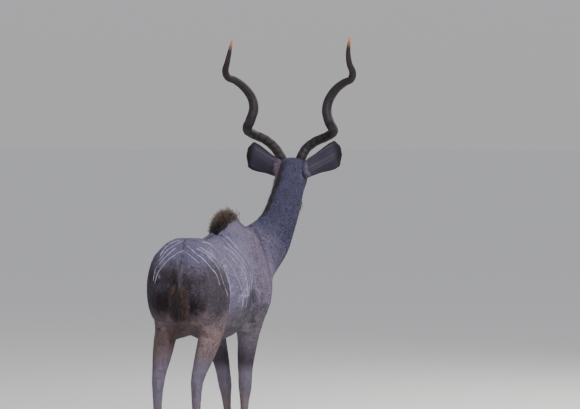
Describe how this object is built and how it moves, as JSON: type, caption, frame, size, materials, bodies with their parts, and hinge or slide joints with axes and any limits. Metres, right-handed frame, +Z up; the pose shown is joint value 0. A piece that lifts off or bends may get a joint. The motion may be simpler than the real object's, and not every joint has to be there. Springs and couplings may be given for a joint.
{
  "type": "greater kudu",
  "caption": "Standing greater kudu bull with corkscrew horns, cupped ears, a nape mane, a throat fringe and a tufted tail, its head turned away over a bent neck.",
  "frame": {"origin": "middle of the bounding box at ground level, where the hooves stand", "axes": "+Z up from the ground towards the horn tips, -Y the way the body faces, +X the animal's left"},
  "size_m": [0.9054, 2.0126, 2.6366],
  "materials": {
    "body_coat": "short dense coat",
    "leg_coat": "short sleek coat",
    "neck_coat": "short coat with long mane and throat fringe",
    "head_coat": "very short coat",
    "ear_coat": "very short coat",
    "eye": "wet and glossy",
    "horn": "ridged below, smooth at the tip",
    "hoof": "smooth",
    "tail_hair": "long hair"
  },
  "bodies": {
    "root": {"ear_left": "ear_coat", "ear_right": "ear_coat", "eye_left": "eye", "eye_right": "eye", "head": "head_coat", "hoof_fore_left": "hoof", "hoof_fore_right": "hoof", "hoof_hind_left": "hoof", "hoof_hind_right": "hoof", "horn_left": "horn", "horn_right": "horn", "lower_foreleg_left": "leg_coat", "lower_foreleg_right": "leg_coat", "lower_hindleg_left": "leg_coat", "lower_hindleg_right": "leg_coat", "neck": "neck_coat", "tail": "tail_hair", "torso": "body_coat", "upper_foreleg_left": "body_coat", "upper_foreleg_right": "body_coat", "upper_hindleg_left": "body_coat", "upper_hindleg_right": "body_coat"}
  },
  "joints": []
}
